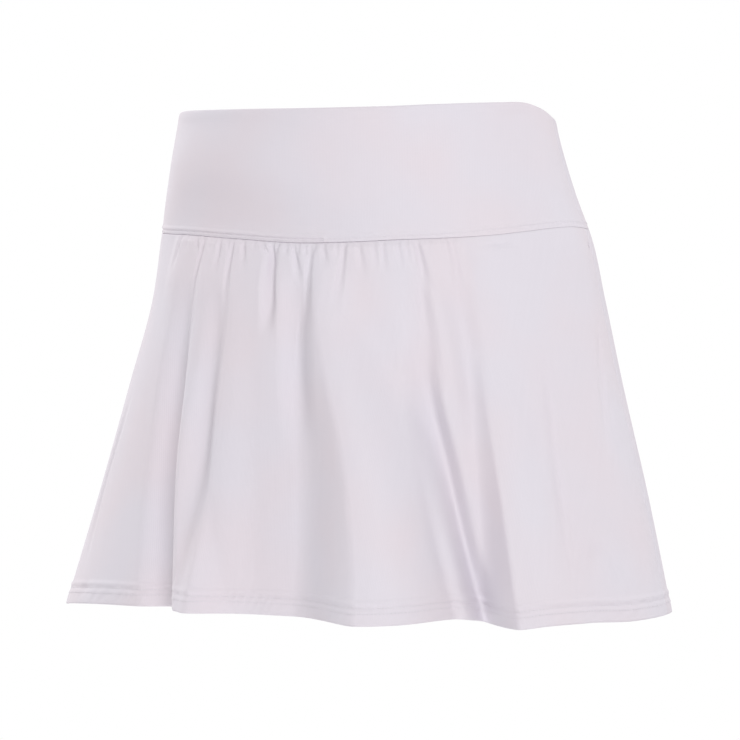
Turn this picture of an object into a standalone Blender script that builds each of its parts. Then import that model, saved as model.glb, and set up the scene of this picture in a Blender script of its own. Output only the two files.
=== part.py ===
"""Tennis skirt: a deep plain waistband over a flared skirt that is gathered into it.

The garment keeps the hollow form it has when it is worn. A maker cuts four pieces: the
front and the back of the waistband, and the front and the back of the skirt. They meet
at the two side seams and at the waist seam. Each piece here is one closed wall of cloth
with an outer face, an inner face and cut edges.

Metres, +Z up. The origin is the middle of the waist opening. The front faces -Y and the
wearer's left is +X. Angles are degrees about Z, 0 at the middle of the front and growing
towards the wearer's left. Depths are measured down from the waist.
"""

from collections import namedtuple

import bmesh
import bpy
import numpy as np

# ------------------------------------------------------------------ driving sizes
SIDE_SEAM = 98.0            # angle of the two side seams, just behind the hips
SEAM_GAP = 0.0003           # between two pieces that are sewn together
BAND_WALL = 0.0024          # doubled knit of the waistband
SKIRT_WALL = 0.0018         # single knit of the skirt
SEAM_STRIP = 0.0050         # height of the stitched strip above the waist seam
SEAM_STRIP_RISE = 0.0005    # what the seam allowance inside adds to that strip
SEAM_STRIP_STEP = 0.0008    # height over which it does so
HEM_HEIGHT = 0.0140         # turned-up hem
HEM_STEP = 0.0014           # height over which the hem's second layer sets in
HEM_RISE = 0.0006           # what that layer adds, outwards and inwards
GATHER_RISE = 0.0011        # how far the gathered cloth puffs out below the seam
GATHER_HALF_WIDTH = 1.9     # degrees from the bottom of a gather to its shoulder
HEM_DEPTH = 0.350           # depth at which every fold has its full size
CREST_ROUNDING = 0.10       # rounding of a fold's crest, as a share of its width
FOLD_GROWTH = 1.1           # power by which a fold's height grows on its way down
FOLD_STEEPNESS = 1.8        # power of a fold's steep side
FOLD_OTHER_START = 0.35     # a fold's other width at its start, as a share of that at the hem
CREASE_START = 0.6          # a crease's width at its start, as a share of that at the hem
CREASE_FULL = 0.40          # share of its way down at which a crease is fully deep
KNIT_COLOUR = (0.76, 0.72, 0.775, 1.0)

# Half sizes of the body form at a few depths: to the wearer's right and left, front, back.
Ring = namedtuple("Ring", "depth right left front back")
RINGS = (
    Ring(0.000, 0.135, 0.133, 0.090, 0.096),
    Ring(0.030, 0.141, 0.140, 0.092, 0.106),
    Ring(0.060, 0.146, 0.149, 0.094, 0.117),
    Ring(0.090, 0.150, 0.160, 0.097, 0.127),
    Ring(0.130, 0.155, 0.169, 0.106, 0.134),
    Ring(0.190, 0.172, 0.182, 0.119, 0.144),
    Ring(0.260, 0.193, 0.199, 0.132, 0.154),
    Ring(0.350, 0.222, 0.218, 0.148, 0.168),
)

# Depth of the waist edge, the waist seam and the hem edge around the body.
Edge = namedtuple("Edge", "angle waist seam hem")
EDGES = (
    Edge(-180.0, 0.0075, 0.0860, 0.3500),
    Edge(-130.0, 0.0085, 0.0860, 0.3500),
    Edge(-100.0, 0.0075, 0.0860, 0.3492),
    Edge(-75.0, 0.0034, 0.0860, 0.3460),
    Edge(-60.0, 0.0020, 0.0865, 0.3422),
    Edge(-45.0, 0.0018, 0.0870, 0.3390),
    Edge(-22.0, 0.0016, 0.0895, 0.3368),
    Edge(0.0, 0.0014, 0.0918, 0.3374),
    Edge(12.0, 0.0010, 0.0910, 0.3378),
    Edge(25.0, 0.0004, 0.0893, 0.3368),
    Edge(36.0, -0.0006, 0.0883, 0.3366),
    Edge(43.0, -0.0011, 0.0874, 0.3418),
    Edge(50.0, -0.0016, 0.0863, 0.3402),
    Edge(62.0, -0.0022, 0.0838, 0.3412),
    Edge(76.0, -0.0022, 0.0815, 0.3426),
    Edge(86.0, 0.0008, 0.0810, 0.3424),
    Edge(100.0, 0.0070, 0.0823, 0.3425),
    Edge(130.0, 0.0085, 0.0845, 0.3480),
    Edge(180.0, 0.0075, 0.0860, 0.3500),
)

# Ridges that grow from their start to the hem. Each wanders a little on its way down: its
# path holds its angles at even steps. The width on the side of the smaller angles is given
# at the start and at the hem, the width on the other side at the hem.
Fold = namedtuple("Fold", "place start path height narrow wide other")
FOLDS = (
    Fold("front right, outer", 0.170, (-30.4, -27.4, -24.2, -20.5, -16.4), 0.020, 0.010, 0.028, 0.040),
    Fold("front right, inner", 0.095, (-21.5, -17.0, -14.0), 0.009, 0.018, 0.030, 0.044),
    Fold("front middle", 0.095, (2.0, 8.2, 14.8, 18.2, 19.6), 0.066, 0.020, 0.056, 0.070),
    Fold("front left", 0.165, (43.8, 44.8, 45.4), 0.035, 0.009, 0.017, 0.060),
    Fold("back left, outer", 0.110, (138.0, 137.0, 134.0), 0.018, 0.008, 0.020, 0.044),
    Fold("back left, inner", 0.100, (153.0, 152.0, 152.0), 0.012, 0.010, 0.026, 0.036),
    Fold("back middle", 0.095, (178.0, 174.0, 169.0), 0.034, 0.010, 0.040, 0.060),
    Fold("back right, inner", 0.110, (-160.0, -158.0, -154.0), 0.016, 0.012, 0.040, 0.024),
    Fold("back right, outer", 0.100, (-136.0, -132.0, -127.0), 0.022, 0.014, 0.048, 0.024),
    Fold("right side", 0.150, (-108.0, -107.0, -106.0), 0.008, 0.010, 0.030, 0.016),
)

# Creases that sink into the cloth between the folds, all the way to the hem. Their widths at
# the hem are given before the middle, where the angles are smaller, and after it.
Crease = namedtuple("Crease", "place start path depth before after")
CREASES = (
    Crease("front right", 0.092, (-39.0, -37.8, -33.0, -28.4, -23.4), 0.0120, 0.026, 0.024),
    Crease("front left", 0.120, (28.6, 30.1, 33.6, 36.4, 41.2), 0.0105, 0.026, 0.0145),
    Crease("back left", 0.120, (158.0, 157.0, 160.0), 0.005, 0.012, 0.012),
    Crease("back right", 0.130, (-147.0, -146.0, -142.0), 0.005, 0.011, 0.011),
)

# A wide shallow dent: how far it reaches around and up and down from its middle.
Dent = namedtuple("Dent", "place angle depth wide high sink")
DENTS = (
    Dent("waistband, right front", -27.0, 0.084, 48.0, 0.042, 0.0062),
)

# Gathers of the front. Each trough starts at the waist seam and fades at its foot.
Gather = namedtuple("Gather", "top foot length depth")
FRONT_GATHERS = (
    Gather(-48.0, -49.0, 0.030, 0.0006),
    Gather(-40.0, -37.5, 0.015, 0.0009),
    Gather(-36.0, -37.0, 0.054, 0.0013),
    Gather(-29.0, -28.0, 0.028, 0.0010),
    Gather(-24.0, -21.0, 0.058, 0.0013),
    Gather(-20.0, -17.0, 0.024, 0.0010),
    Gather(-16.0, -15.0, 0.010, 0.0006),
    Gather(-13.5, -10.0, 0.012, 0.0009),
    Gather(-10.5, -6.5, 0.052, 0.0013),
    Gather(-5.5, -5.0, 0.012, 0.0008),
    Gather(-3.0, 0.2, 0.030, 0.0011),
    Gather(0.0, 1.5, 0.014, 0.0010),
    Gather(2.8, 2.5, 0.058, 0.0013),
    Gather(4.8, 6.8, 0.018, 0.0009),
    Gather(10.0, 9.8, 0.050, 0.0011),
    Gather(14.0, 16.0, 0.028, 0.0008),
    Gather(17.8, 19.0, 0.022, 0.0006),
    Gather(20.5, 21.0, 0.026, 0.0008),
    Gather(24.8, 26.0, 0.024, 0.0007),
    Gather(28.5, 32.0, 0.038, 0.0013),
    Gather(33.5, 34.0, 0.012, 0.0007),
    Gather(37.8, 41.0, 0.046, 0.0011),
)
GATHERED_FRONT = (-52.0, 42.0)      # angles between which the front is gathered
GATHERED_BACK = (138.0, 222.0)      # and the back
BACK_GATHERS = 22
BACK_SEED = 11

# Columns of the mesh: from one angle to the next in steps of about so many degrees.
Span = namedtuple("Span", "start stop step")
FRONT_SPANS = (
    Span(-SIDE_SEAM, -52.0, 2.6),
    Span(-52.0, 42.0, 1.3),
    Span(42.0, 66.0, 1.7),
    Span(66.0, SIDE_SEAM, 2.6),
)
BACK_SPANS = (
    Span(SIDE_SEAM, 118.0, 2.6),
    Span(118.0, 242.0, 1.9),
    Span(242.0, 360.0 - SIDE_SEAM, 2.6),
)
BAND_STEP = 5.2
SKIRT_ROWS = (0.0, 0.016, 0.05, 0.10, 0.17, 0.25, 0.33, 0.41, 0.49, 0.57, 0.65, 0.73, 0.81, 0.89)
BAND_ROWS = (0.0, 0.26, 0.50, 0.74)


# ------------------------------------------------------------------ curves and tables
def through(xs, ys, x):
    """Smooth curve through the points (xs, ys), held level past both ends."""
    xs = np.asarray(xs, dtype=float)
    ys = np.asarray(ys, dtype=float)
    slopes = np.gradient(ys, xs)
    x = np.clip(x, xs[0], xs[-1])
    i = np.clip(np.searchsorted(xs, x, side="right") - 1, 0, len(xs) - 2)
    width = xs[i + 1] - xs[i]
    t = (x - xs[i]) / width
    return (
        (2 * t**3 - 3 * t**2 + 1) * ys[i]
        + (t**3 - 2 * t**2 + t) * width * slopes[i]
        + (3 * t**2 - 2 * t**3) * ys[i + 1]
        + (t**3 - t**2) * width * slopes[i + 1]
    )


def column(table, name):
    """One named column of a table."""
    return [getattr(row, name) for row in table]


def ramp(x, start, stop):
    """0 before start, 1 after stop, soft in between."""
    t = np.clip((x - start) / (stop - start), 0.0, 1.0)
    return t * t * (3.0 - 2.0 * t)


def bump(t):
    """Round bump: 1 at t = 0, falling to 0 at t = 1 on both sides."""
    return 0.5 * (1.0 + np.cos(np.pi * np.clip(np.abs(t), 0.0, 1.0)))


def turn(angle):
    """The same angle between -180 and 180 degrees."""
    return (angle + 180.0) % 360.0 - 180.0


def edge(angle, name):
    """Depth of the waist, seam or hem edge at an angle."""
    return through(column(EDGES, "angle"), column(EDGES, name), turn(angle))


# ------------------------------------------------------------------ the body form
def form(angle, depth):
    """Point of the plain form, its outward direction, and its length for one degree."""
    sine, cosine = np.sin(np.radians(angle)), np.cos(np.radians(angle))
    sizes = {
        name: through(column(RINGS, "depth"), column(RINGS, name), depth)
        for name in ("right", "left", "front", "back")
    }
    across = np.where(sine > 0.0, sizes["left"], sizes["right"])
    along = np.where(cosine > 0.0, sizes["front"], sizes["back"])
    point = np.stack((across * sine, -along * cosine, -depth), axis=-1)
    out = np.stack((along * sine, -across * cosine, np.zeros_like(depth)), axis=-1)
    out /= np.linalg.norm(out, axis=-1, keepdims=True)
    degree = np.hypot(across * cosine, along * sine) * np.pi / 180.0
    return point, out, degree


def lean(row, share):
    """Angle of a fold or crease at a share of its way down."""
    return through(np.linspace(0.0, 1.0, len(row.path)), row.path, share)


def folds(angle, depth, degree):
    """How far the large folds and creases stand out from the plain form."""
    out = np.zeros_like(depth)
    for fold in FOLDS:
        share = np.clip((depth - fold.start) / (HEM_DEPTH - fold.start), 0.0, 1.0)
        aside = turn(angle - lean(fold, share)) * degree
        before = fold.narrow + (fold.wide - fold.narrow) * share
        after = fold.other * (FOLD_OTHER_START + (1.0 - FOLD_OTHER_START) * share)
        t = np.abs(aside) / np.where(aside < 0.0, before, after)
        t = np.clip(np.hypot(t, CREST_ROUNDING) - CREST_ROUNDING, 0.0, 1.0)
        narrow_side = fold.wide < fold.other
        steep = (1.0 - t) ** FOLD_STEEPNESS
        gentle = bump(t)
        profile = np.where((aside < 0.0) == narrow_side, steep, gentle)
        out += fold.height * share**FOLD_GROWTH * profile
    for crease in CREASES:
        share = np.clip((depth - crease.start) / (HEM_DEPTH - crease.start), 0.0, 1.0)
        aside = turn(angle - lean(crease, share)) * degree
        width = np.where(aside < 0.0, crease.before, crease.after)
        width = width * (CREASE_START + (1.0 - CREASE_START) * share)
        out -= crease.depth * np.minimum(share / CREASE_FULL, 1.0) * bump(aside / width)
    return out


def dents(angle, depth):
    """How far the shallow dents stand out from the plain form."""
    out = np.zeros_like(depth)
    for dent in DENTS:
        around = turn(angle - dent.angle) / dent.wide
        down = (depth - dent.depth) / dent.high
        out -= dent.sink * bump(np.hypot(around, down))
    return out


def back_gathers():
    """Gathers of the back: evenly spread, each a little different from the next."""
    chance = np.random.default_rng(BACK_SEED)
    start, stop = GATHERED_BACK
    pitch = (stop - start) / BACK_GATHERS
    rows = []
    for number in range(BACK_GATHERS):
        top = start + pitch * (number + 0.5 + chance.uniform(-0.2, 0.2))
        foot = top + chance.uniform(-1.5, 1.5)
        long = number % 4 == 1
        length = chance.uniform(0.042, 0.058) if long else chance.uniform(0.012, 0.030)
        depth = 0.0013 if long else chance.uniform(0.0006, 0.0011)
        rows.append(Gather(top, foot, length, depth))
    return tuple(rows)


def gathers(angle, below, table, limits):
    """Outer relief of the gathers: the cloth puffs out and the troughs cut back into it."""
    start, stop = limits
    inside = ramp(angle, start, start + 6.0) * ramp(-angle, -stop, 6.0 - stop)
    puff = GATHER_RISE * ramp(below, -0.003, 0.005) * (1.0 - ramp(below, 0.010, 0.062))
    troughs = np.zeros_like(angle)
    for row in table:
        share = below / row.length
        middle = row.top + (row.foot - row.top) * np.clip(share, 0.0, 1.0)
        fade = 1.0 - ramp(share, 0.45, 1.0)
        here = row.depth * fade * bump((angle - middle) / GATHER_HALF_WIDTH)
        troughs = np.maximum(troughs, here)
    return inside * (puff - np.minimum(troughs, puff + 0.0002))


# ------------------------------------------------------------------ walls of cloth
def wall(name, outer, inner):
    """One closed solid between two grids of points, joined along their four borders."""
    rows, columns = outer.shape[:2]
    points = np.concatenate((outer.reshape(-1, 3), inner.reshape(-1, 3)))
    numbers = np.arange(2 * rows * columns).reshape(2, rows, columns)
    faces = []
    for sheet in numbers:
        for i in range(rows - 1):
            for j in range(columns - 1):
                faces.append((sheet[i, j], sheet[i, j + 1], sheet[i + 1, j + 1], sheet[i + 1, j]))
    for border in (np.s_[:, 0, :], np.s_[:, -1, :], np.s_[:, :, 0], np.s_[:, :, -1]):
        near, far = numbers[border]
        for i in range(len(near) - 1):
            faces.append((near[i], near[i + 1], far[i + 1], far[i]))
    mesh = bpy.data.meshes.new(name)
    mesh.from_pydata(points.tolist(), [], [tuple(map(int, face)) for face in faces])
    shell = bmesh.new()
    shell.from_mesh(mesh)
    bmesh.ops.recalc_face_normals(shell, faces=shell.faces)
    shell.to_mesh(mesh)
    shell.free()
    mesh.shade_smooth()
    mesh.set_sharp_from_angle(angle=np.radians(50.0))
    piece = bpy.data.objects.new(name, mesh)
    bpy.context.collection.objects.link(piece)
    mesh.materials.append(knit(name + "_knit"))
    return piece


def knit(name):
    """Smooth pale lilac knit."""
    material = bpy.data.materials.new(name)
    material.use_nodes = True
    shader = material.node_tree.nodes["Principled BSDF"]
    shader.inputs["Base Color"].default_value = KNIT_COLOUR
    shader.inputs["Roughness"].default_value = 0.85
    shader.inputs["Metallic"].default_value = 0.0
    return material


def columns(spans):
    """Angles of the mesh columns over some spans."""
    angles = [spans[0].start]
    for span in spans:
        count = max(1, round((span.stop - span.start) / span.step))
        angles.extend(np.linspace(span.start, span.stop, count + 1)[1:])
    return np.array(angles)


def seam_angles(angles, depth):
    """The column angles on every row, with the end columns set back from the side seams."""
    grid = np.broadcast_to(angles, depth.shape).copy()
    for end, side in ((0, 1.0), (-1, -1.0)):
        degree = form(grid[:, end], depth[:, end])[2]
        grid[:, end] += side * 0.5 * SEAM_GAP / degree
    return grid


def waistband(name, start, stop):
    """Half of the waistband, with the stitched strip along its lower edge."""
    angles = columns([Span(start, stop, BAND_STEP)])
    top, bottom = edge(angles, "waist"), edge(angles, "seam") - 0.5 * SEAM_GAP
    strip = bottom - SEAM_STRIP
    rows = [top + (strip - top) * share for share in BAND_ROWS]
    rows += [strip - 0.5 * SEAM_STRIP_STEP, strip + 0.5 * SEAM_STRIP_STEP, bottom]
    depth = np.array(rows)
    rise = np.where(depth > strip, SEAM_STRIP_RISE, 0.0)[..., None]
    grid = seam_angles(angles, depth)
    point, out, _ = form(grid, depth)
    stand = dents(grid, depth)[..., None]
    return wall(name, point + out * (stand + rise), point + out * (stand - BAND_WALL))


def skirt(name, spans, table, limits):
    """Half of the skirt, from the waist seam down to the turned-up hem."""
    angles = columns(spans)
    top, bottom = edge(angles, "seam") + 0.5 * SEAM_GAP, edge(angles, "hem")
    rows = [top + (bottom - top) * share for share in SKIRT_ROWS]
    rows += [bottom - HEM_HEIGHT - HEM_STEP, bottom - HEM_HEIGHT, bottom]
    depth = np.array(rows)
    grid = seam_angles(angles, depth)
    point, out, degree = form(grid, depth)
    stand = (folds(grid, depth, degree) + dents(grid, depth))[..., None]
    hem = HEM_RISE * (depth > bottom - HEM_HEIGHT - 0.5 * HEM_STEP)[..., None]
    puff = gathers(grid, depth - top, table, limits)[..., None]
    outer = point + out * (stand + puff + hem)
    inner = point + out * (stand - SKIRT_WALL - hem)
    return wall(name, outer, inner)


def main():
    for old in list(bpy.data.objects):
        bpy.data.objects.remove(old, do_unlink=True)
    waistband("waistband_front", -SIDE_SEAM, SIDE_SEAM)
    waistband("waistband_back", SIDE_SEAM, 360.0 - SIDE_SEAM)
    skirt("skirt_front", FRONT_SPANS, FRONT_GATHERS, GATHERED_FRONT)
    skirt("skirt_back", BACK_SPANS, back_gathers(), GATHERED_BACK)


main()
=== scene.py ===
"""Looks of the tennis skirt: knit shells, their creases, gathers and stitching, and a stage.

Metres, +Z up. The origin is the middle of the waist opening. The front faces -Y and the
wearer's left is +X. Angles are degrees about Z, 0 at the middle of the front and growing
towards the wearer's left. Depths are measured down from the waist.
"""

from collections import namedtuple
from math import cos, pi, radians, sin

import bpy
import numpy as np
from bpy.props import FloatProperty, FloatVectorProperty, IntProperty, PointerProperty
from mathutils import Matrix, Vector


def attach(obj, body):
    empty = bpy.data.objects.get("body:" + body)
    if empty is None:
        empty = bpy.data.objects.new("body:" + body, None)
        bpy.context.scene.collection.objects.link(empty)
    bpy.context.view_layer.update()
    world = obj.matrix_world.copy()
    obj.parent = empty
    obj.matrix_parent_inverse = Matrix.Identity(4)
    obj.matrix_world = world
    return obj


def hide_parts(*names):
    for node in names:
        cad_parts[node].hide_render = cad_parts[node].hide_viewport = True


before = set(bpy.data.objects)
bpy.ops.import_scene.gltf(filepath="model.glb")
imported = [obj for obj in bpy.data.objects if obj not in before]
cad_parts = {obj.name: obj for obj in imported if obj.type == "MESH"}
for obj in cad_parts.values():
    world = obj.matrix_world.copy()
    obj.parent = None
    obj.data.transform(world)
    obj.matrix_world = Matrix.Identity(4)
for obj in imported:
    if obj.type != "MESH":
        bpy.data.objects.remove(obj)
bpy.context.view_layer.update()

bl_info = {
    "name": "Tennis Skirt",
    "version": (1, 0, 0),
    "blender": (4, 5, 0),
    "location": "3D Viewport > Sidebar > Tennis Skirt",
    "description": "Builds a gathered tennis skirt with a deep waistband",
    "category": "Object",
}

# ---------------- the form of the garment
SIDE_SEAM = 98.0  # angle of the two side seams, just behind the hips
HEM_DEPTH = 0.350  # depth at which every fold has its full size
CREST_ROUNDING = 0.10  # rounding of a fold's crest, as a share of its width
FOLD_GROWTH = 1.1  # power by which a fold's height grows on its way down
FOLD_STEEPNESS = 1.8  # power of a fold's steep side
FOLD_OTHER_START = 0.35  # a fold's other width at its start, as a share of that at the hem
CREASE_START = 0.6  # a crease's width at its start, as a share of that at the hem
CREASE_FULL = 0.40  # share of its way down at which a crease is fully deep
RIPPLE_FULL = 0.3  # share of its way down at which a ripple stands in full
RIPPLE_FADES = 0.60  # share at which it starts to fade


def records(fields, *rows):
    """Rows with named fields."""
    kind = namedtuple("Row", fields)
    return tuple(kind(*row) for row in rows)


# Half sizes of the body form at a few depths: to the wearer's right and left, front, back.
RINGS = records(
    "depth right left front back",
    (0.0, 0.135, 0.133, 0.09, 0.096),
    (0.03, 0.141, 0.14, 0.092, 0.106),
    (0.06, 0.146, 0.149, 0.094, 0.117),
    (0.09, 0.15, 0.16, 0.097, 0.127),
    (0.13, 0.155, 0.169, 0.106, 0.134),
    (0.19, 0.172, 0.182, 0.119, 0.144),
    (0.26, 0.193, 0.199, 0.132, 0.154),
    (0.35, 0.222, 0.218, 0.148, 0.168),
)

# Depth of the waist edge, the waist seam and the hem edge around the body.
EDGES = records(
    "angle waist seam hem",
    (-180.0, 0.0075, 0.086, 0.35),
    (-130.0, 0.0085, 0.086, 0.35),
    (-100.0, 0.0075, 0.086, 0.3492),
    (-75.0, 0.0034, 0.086, 0.346),
    (-60.0, 0.002, 0.0865, 0.3422),
    (-45.0, 0.0018, 0.087, 0.339),
    (-22.0, 0.0016, 0.0895, 0.3368),
    (0.0, 0.0014, 0.0918, 0.3374),
    (12.0, 0.001, 0.091, 0.3378),
    (25.0, 0.0004, 0.0893, 0.3368),
    (36.0, -0.0006, 0.0883, 0.3366),
    (43.0, -0.0011, 0.0874, 0.3418),
    (50.0, -0.0016, 0.0863, 0.3402),
    (62.0, -0.0022, 0.0838, 0.3412),
    (76.0, -0.0022, 0.0815, 0.3426),
    (86.0, 0.0008, 0.081, 0.3424),
    (100.0, 0.007, 0.0823, 0.3425),
    (130.0, 0.0085, 0.0845, 0.348),
    (180.0, 0.0075, 0.086, 0.35),
)

# Ridges that grow from their start to the hem. Each wanders a little on its way down: its
# path holds its angles at even steps. The width on the side of the smaller angles is given
# at the start and at the hem, the width on the other side at the hem.
FOLDS = records(
    "place start path height narrow wide other",
    ("front right, outer", 0.17, (-30.4, -27.4, -24.2, -20.5, -16.4), 0.02, 0.01, 0.028, 0.04),
    ("front right, inner", 0.095, (-21.5, -17.0, -14.0), 0.009, 0.018, 0.03, 0.044),
    ("front middle", 0.095, (2.0, 8.2, 14.8, 18.2, 19.6), 0.066, 0.02, 0.056, 0.07),
    ("front left", 0.165, (43.8, 44.8, 45.4), 0.035, 0.009, 0.017, 0.06),
    ("back left, outer", 0.11, (138.0, 137.0, 134.0), 0.018, 0.008, 0.02, 0.044),
    ("back left, inner", 0.1, (153.0, 152.0, 152.0), 0.012, 0.01, 0.026, 0.036),
    ("back middle", 0.095, (178.0, 174.0, 169.0), 0.034, 0.01, 0.04, 0.06),
    ("back right, inner", 0.11, (-160.0, -158.0, -154.0), 0.016, 0.012, 0.04, 0.024),
    ("back right, outer", 0.1, (-136.0, -132.0, -127.0), 0.022, 0.014, 0.048, 0.024),
    ("right side", 0.15, (-108.0, -107.0, -106.0), 0.008, 0.01, 0.03, 0.016),
)

# Creases that sink into the cloth between the folds, all the way to the hem. Their widths at
# the hem are given before the middle, where the angles are smaller, and after it.
CREASES = records(
    "place start path depth before after",
    ("front right", 0.092, (-39.0, -37.8, -33.0, -28.4, -23.4), 0.012, 0.026, 0.024),
    ("front left", 0.12, (28.6, 30.1, 33.6, 36.4, 41.2), 0.0105, 0.026, 0.0145),
    ("back left", 0.12, (158.0, 157.0, 160.0), 0.005, 0.012, 0.012),
    ("back right", 0.13, (-147.0, -146.0, -142.0), 0.005, 0.011, 0.011),
)

# Small ridges (rise above 0) and troughs (below 0) that start and fade on the cloth.
RIPPLES = records(
    "place start stop path rise half_width",
    ("second fold's trough", 0.088, 0.4, (-26.4, -23.2, -20.6, -18.0, -14.8), -0.006, 0.016),
    ("middle fold's start", 0.088, 0.24, (0.1, 1.2, 4.6), -0.006, 0.0175),
    ("short gather's tail", 0.086, 0.16, (-9.8, -8.8, -7.4), -0.004, 0.008),
    ("left crease's shoulder", 0.2, 0.56, (28.9, 39.5, 50.2), 0.01, 0.011),
    ("first fold's crest", 0.22, 0.5, (-26.9, -16.0, -6.0), -0.0046, 0.02),
    ("thin crease", 0.092, 0.21, (27.4, 31.6, 33.2), -0.0024, 0.007),
    ("valley to the left fold", 0.09, 0.245, (36.0, 40.6, 42.0), -0.0044, 0.014),
    ("left hip, long", 0.15, 0.345, (62.5, 60.3, 58.8), -0.0014, 0.0065),
    ("left hip, short", 0.14, 0.245, (90.5, 84.0, 78.2), -0.0014, 0.0065),
    ("right hip", 0.19, 0.325, (-58.5, -62.5, -57.0), -0.0016, 0.007),
    ("right hip, rear", 0.15, 0.3, (-84.0, -82.0, -86.0), -0.0014, 0.008),
    ("back left, long", 0.14, 0.34, (118.0, 120.0, 118.5), -0.0016, 0.007),
    ("back left, thin", 0.095, 0.24, (146.0, 144.5, 145.5), -0.0024, 0.006),
    ("back middle, left", 0.09, 0.23, (166.0, 164.0, 161.0), -0.0034, 0.007),
    ("back middle, right", 0.095, 0.26, (188.5, 186.0, 182.5), -0.003, 0.008),
    ("back right, thin", 0.095, 0.22, (205.0, 207.0, 209.0), -0.0022, 0.006),
    ("back right, long", 0.16, 0.345, (238.0, 241.0, 240.0), -0.0016, 0.007),
)

# Shallow dents: how far they reach around and up and down from their middle.
DENTS = records(
    "place angle depth wide high sink",
    ("waistband, right front", -27.0, 0.084, 48.0, 0.042, 0.0062),
    ("waistband, roll over it", -32.0, 0.035, 44.0, 0.031, -0.003),
    ("waistband, middle front", 8.0, 0.074, 26.0, 0.02, 0.0008),
    ("waistband, left front", 62.0, 0.05, 24.0, 0.03, 0.0006),
    ("waistband, back left", 142.0, 0.056, 30.0, 0.03, 0.0022),
    ("waistband, back right", 226.0, 0.05, 34.0, 0.028, 0.0026),
    ("left front, over the hem", 68.5, 0.3, 5.0, 0.015, 0.0018),
    ("right front, at the hem", -53.0, 0.33, 4.0, 0.008, 0.001),
    ("wrinkle under the seam", 52.0, 0.0935, 8.0, 0.0022, 0.0009),
    ("knot on the seam strip", 4.9, 0.0893, 1.0, 0.0024, -0.0006),
    ("pucker, left side seam", 97.0, 0.094, 2.0, 0.004, 0.0014),
    ("back, over the hem", 150.0, 0.305, 6.0, 0.016, 0.0014),
)

# Gathers of the front. Each trough starts at the waist seam and fades at its foot.
Gather = namedtuple("Gather", "top foot length depth half_width")
FRONT_GATHERS = records(
    Gather._fields,
    (-48.0, -49.2, 0.03, 0.0008, 1.8),
    (-44.0, -43.4, 0.012, 0.0004, 1.2),
    (-40.0, -37.2, 0.013, 0.0011, 1.5),
    (-36.0, -36.8, 0.056, 0.0016, 1.9),
    (-32.6, -32.0, 0.012, 0.0004, 1.1),
    (-29.0, -27.8, 0.028, 0.0012, 1.6),
    (-25.8, -23.2, 0.018, 0.0008, 1.2),
    (-24.2, -21.2, 0.058, 0.0016, 1.8),
    (-20.2, -17.0, 0.024, 0.0013, 1.6),
    (-16.0, -15.0, 0.008, 0.0006, 1.1),
    (-14.0, -10.0, 0.011, 0.0013, 1.3),
    (-10.5, -6.5, 0.052, 0.0016, 1.7),
    (-8.0, -8.8, 0.012, 0.0009, 1.0),
    (-5.5, -5.0, 0.011, 0.0008, 1.1),
    (-3.5, 0.2, 0.029, 0.0014, 1.4),
    (-2.0, -1.5, 0.011, 0.001, 0.9),
    (-0.2, 1.5, 0.013, 0.0012, 1.1),
    (2.8, 1.8, 0.014, 0.0012, 1.1),
    (1.7, 2.8, 0.06, 0.0016, 1.8),
    (4.8, 6.8, 0.018, 0.0011, 1.3),
    (8.5, 9.5, 0.015, 0.0006, 1.1),
    (10.4, 9.8, 0.052, 0.0013, 1.5),
    (14.0, 16.0, 0.028, 0.0008, 1.5),
    (17.8, 19.0, 0.022, 0.0006, 1.3),
    (20.2, 20.8, 0.026, 0.0007, 1.3),
    (23.8, 25.2, 0.024, 0.0007, 1.3),
    (26.2, 26.6, 0.018, 0.0005, 1.1),
    (28.5, 32.0, 0.04, 0.0015, 1.7),
    (32.2, 32.5, 0.009, 0.0005, 1.0),
    (34.8, 35.0, 0.009, 0.0005, 1.0),
    (37.8, 40.8, 0.046, 0.0012, 2.0),
)
GATHERED_FRONT = (-54.0, 43.0)  # angles between which the front is gathered
GATHERED_BACK = (136.0, 224.0)  # and the back

# How the seam strip over the waist seam stands: the height of its ridge, of the line of
# shadow under it, and of the thread, which lies at its own height over the seam. The roll
# is how far the edges of the cloth round off at the seam.
STRIPS = records(
    "angle ridge shadow thread over_seam roll",
    (-98.0, 0.00048, 0.00042, 0.00016, 0.0013, 0.00034),
    (4.4, 0.00048, 0.00046, 0.00016, 0.0013, 0.0004),
    (5.4, 0.00018, 0.00012, 0.00008, 0.0022, 0.00042),
    (30.0, 0.00014, 0.0001, 0.00008, 0.0026, 0.00024),
    (52.0, 0.0002, 0.0001, 0.00012, 0.004, 0.00008),
    (98.0, 0.00024, 0.00014, 0.00012, 0.004, 0.00008),
    (180.0, 0.00036, 0.00032, 0.00014, 0.0026, 0.0005),
    (262.0, 0.00045, 0.00045, 0.00016, 0.0013, 0.0006),
)

# Columns of the meshes: from one angle to the next in steps of about so many degrees.
Span = namedtuple("Span", "start stop step")
FRONT_SPANS = records(
    Span._fields,
    (-SIDE_SEAM, -96.5, 0.15),
    (-96.5, -54.0, 0.80),
    (-54.0, 45.0, 0.33),
    (45.0, 70.0, 0.50),
    (70.0, 96.5, 0.80),
    (96.5, SIDE_SEAM, 0.15),
)
BACK_SPANS = records(
    Span._fields,
    (SIDE_SEAM, 99.5, 0.15),
    (99.5, 134.0, 0.70),
    (134.0, 226.0, 0.36),
    (226.0, 260.5, 0.70),
    (260.5, 360.0 - SIDE_SEAM, 0.15),
)

# Each flat cut is part of a ring: its width, its length and its area.
Cut = namedtuple("Cut", "width length area")
Half = namedtuple("Half", "side spans gathered band_cut skirt_cut")
HALVES = (
    Half("front", FRONT_SPANS, GATHERED_FRONT, Cut(0.4, 0.11, 0.034), Cut(0.74, 0.323, 0.167)),
    Half("back", BACK_SPANS, GATHERED_BACK, Cut(0.375, 0.11, 0.0293), Cut(0.633, 0.313, 0.146)),
)

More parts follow.
